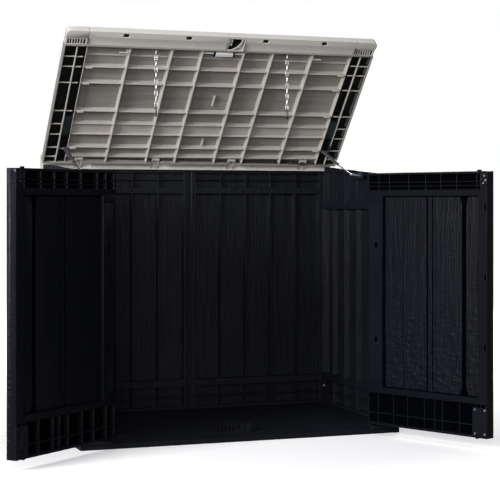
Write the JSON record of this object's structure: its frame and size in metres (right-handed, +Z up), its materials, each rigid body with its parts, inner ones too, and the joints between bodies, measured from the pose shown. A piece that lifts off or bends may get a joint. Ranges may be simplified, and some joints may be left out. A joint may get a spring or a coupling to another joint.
{
  "type": "garden storage box",
  "caption": "Garden storage box with two plank-faced front doors and a ribbed, sloping lid that opens on gas struts, with chains under it.",
  "frame": {"origin": "centre of the base tray's footprint, on the ground", "axes": "+Z up, +X to the right seen from the front, +Y to the back; the doors open towards -Y"},
  "size_m": [2.0047, 1.3887, 1.7854],
  "materials": {
    "body_plastic": "matt, lightly grained",
    "door_plastic": "matt, wood-grained",
    "door_trim": "satin",
    "lid_plastic": "matt, wood-grained",
    "lid_front": "matt",
    "fitting": "satin",
    "light_fitting": "satin",
    "bracket": "satin",
    "zinc": "zinc plated",
    "chain": "zinc plated",
    "clip": "gloss black",
    "strut_tube": "satin",
    "strut_rod": "polished"
  },
  "bodies": {
    "body": {"base_tray": "body_plastic", "door_stop": "body_plastic", "wall_left": "body_plastic", "wall_right": "body_plastic", "post_left": "body_plastic", "post_right": "body_plastic", "back_left": "body_plastic", "back_right": "body_plastic", "back_seam": "body_plastic", "rear_bar": "lid_plastic", "rear_bar_screws": "zinc", "corner_brackets": "fitting", "door_arms": "fitting", "door_pins": "zinc", "wall_screws": "zinc", "lid_hinge_arms": "lid_plastic", "lid_hinge_pins": "zinc", "strut_plate_left": "bracket", "strut_plate_right": "bracket", "wall_studs": "zinc"},
    "door_left": {"door_left_shell": "door_plastic", "door_left_frame": "door_plastic", "door_left_strip": "door_trim", "door_left_plate": "door_trim", "door_left_cap": "door_trim", "door_left_catch": "door_trim", "door_left_screws": "zinc"},
    "door_right": {"door_right_shell": "door_plastic", "door_right_frame": "door_plastic", "door_right_strip": "door_trim", "door_right_plate": "door_trim", "door_right_cap": "door_trim", "door_right_catch": "door_trim", "door_right_screws": "zinc"},
    "lid": {"lid_panel": "lid_plastic", "lid_knuckles": "lid_plastic", "lid_front_left": "lid_front", "lid_front_right": "lid_front", "lid_cap_left": "lid_front", "lid_cap_right": "lid_front", "lock_case": "lid_front", "lock_guides": "light_fitting", "handle_sleeve": "light_fitting", "handle_rod": "strut_rod", "handle_brackets": "fitting", "lid_hooks": "chain", "lid_bracket_left": "bracket", "lid_bracket_right": "bracket", "lid_studs": "zinc"},
    "strut_left_rod": {"strut_left_rod": "strut_rod"},
    "strut_left_tube": {"strut_left_tube": "strut_tube"},
    "strut_right_rod": {"strut_right_rod": "strut_rod"},
    "strut_right_tube": {"strut_right_tube": "strut_tube"},
    "chain_left": {"chain_left": "chain", "chain_left_clip": "clip"},
    "chain_right": {"chain_right": "chain", "chain_right_clip": "clip"}
  },
  "joints": [
    {"name": "lid_hinge", "type": "hinge", "parent": "body", "child": "lid", "pos_m": [0, 0.3175, 1.23226], "axis": [1, 0, 0], "range_deg": [0, 52.5]},
    {"name": "door_left_hinge", "type": "hinge", "parent": "body", "child": "door_left", "pos_m": [-0.6225, -0.3975, 0.6], "axis": [0, 0, 1], "range_deg": [-9, 141]},
    {"name": "door_right_hinge", "type": "hinge", "parent": "body", "child": "door_right", "pos_m": [0.6225, -0.3975, 0.6], "axis": [0, 0, 1], "range_deg": [-115, 35]},
    {"name": "strut_left_pivot", "type": "hinge", "parent": "body", "child": "strut_left_rod", "pos_m": [-0.642, -0.085, 1.15406], "axis": [1, 0, 0], "range_deg": [-11, 0.5]},
    {"name": "strut_left_slide", "type": "slide", "parent": "strut_left_rod", "child": "strut_left_tube", "axis": [0, 0.9413, 0.3375], "range_m": [-0.027, 0.0005]},
    {"name": "chain_left_swing", "type": "hinge", "parent": "lid", "child": "chain_left", "pos_m": [-0.312, -0.09788, 1.70176], "axis": [1, 0, 0], "range_deg": [-60, 25]},
    {"name": "strut_right_pivot", "type": "hinge", "parent": "body", "child": "strut_right_rod", "pos_m": [0.642, -0.085, 1.15406], "axis": [1, 0, 0], "range_deg": [-11, 0.5]},
    {"name": "strut_right_slide", "type": "slide", "parent": "strut_right_rod", "child": "strut_right_tube", "axis": [0, 0.9413, 0.3375], "range_m": [-0.027, 0.0005]},
    {"name": "chain_right_swing", "type": "hinge", "parent": "lid", "child": "chain_right", "pos_m": [0.312, -0.09788, 1.70176], "axis": [1, 0, 0], "range_deg": [-60, 25]}
  ],
  "couplings": [
    {"joint": "strut_left_pivot", "follows": "lid_hinge", "ratio": -0.20137},
    {"joint": "strut_left_slide", "follows": "lid_hinge", "m_per_rad": -0.027894},
    {"joint": "strut_right_pivot", "follows": "lid_hinge", "ratio": -0.20137},
    {"joint": "strut_right_slide", "follows": "lid_hinge", "m_per_rad": -0.027894}
  ]
}
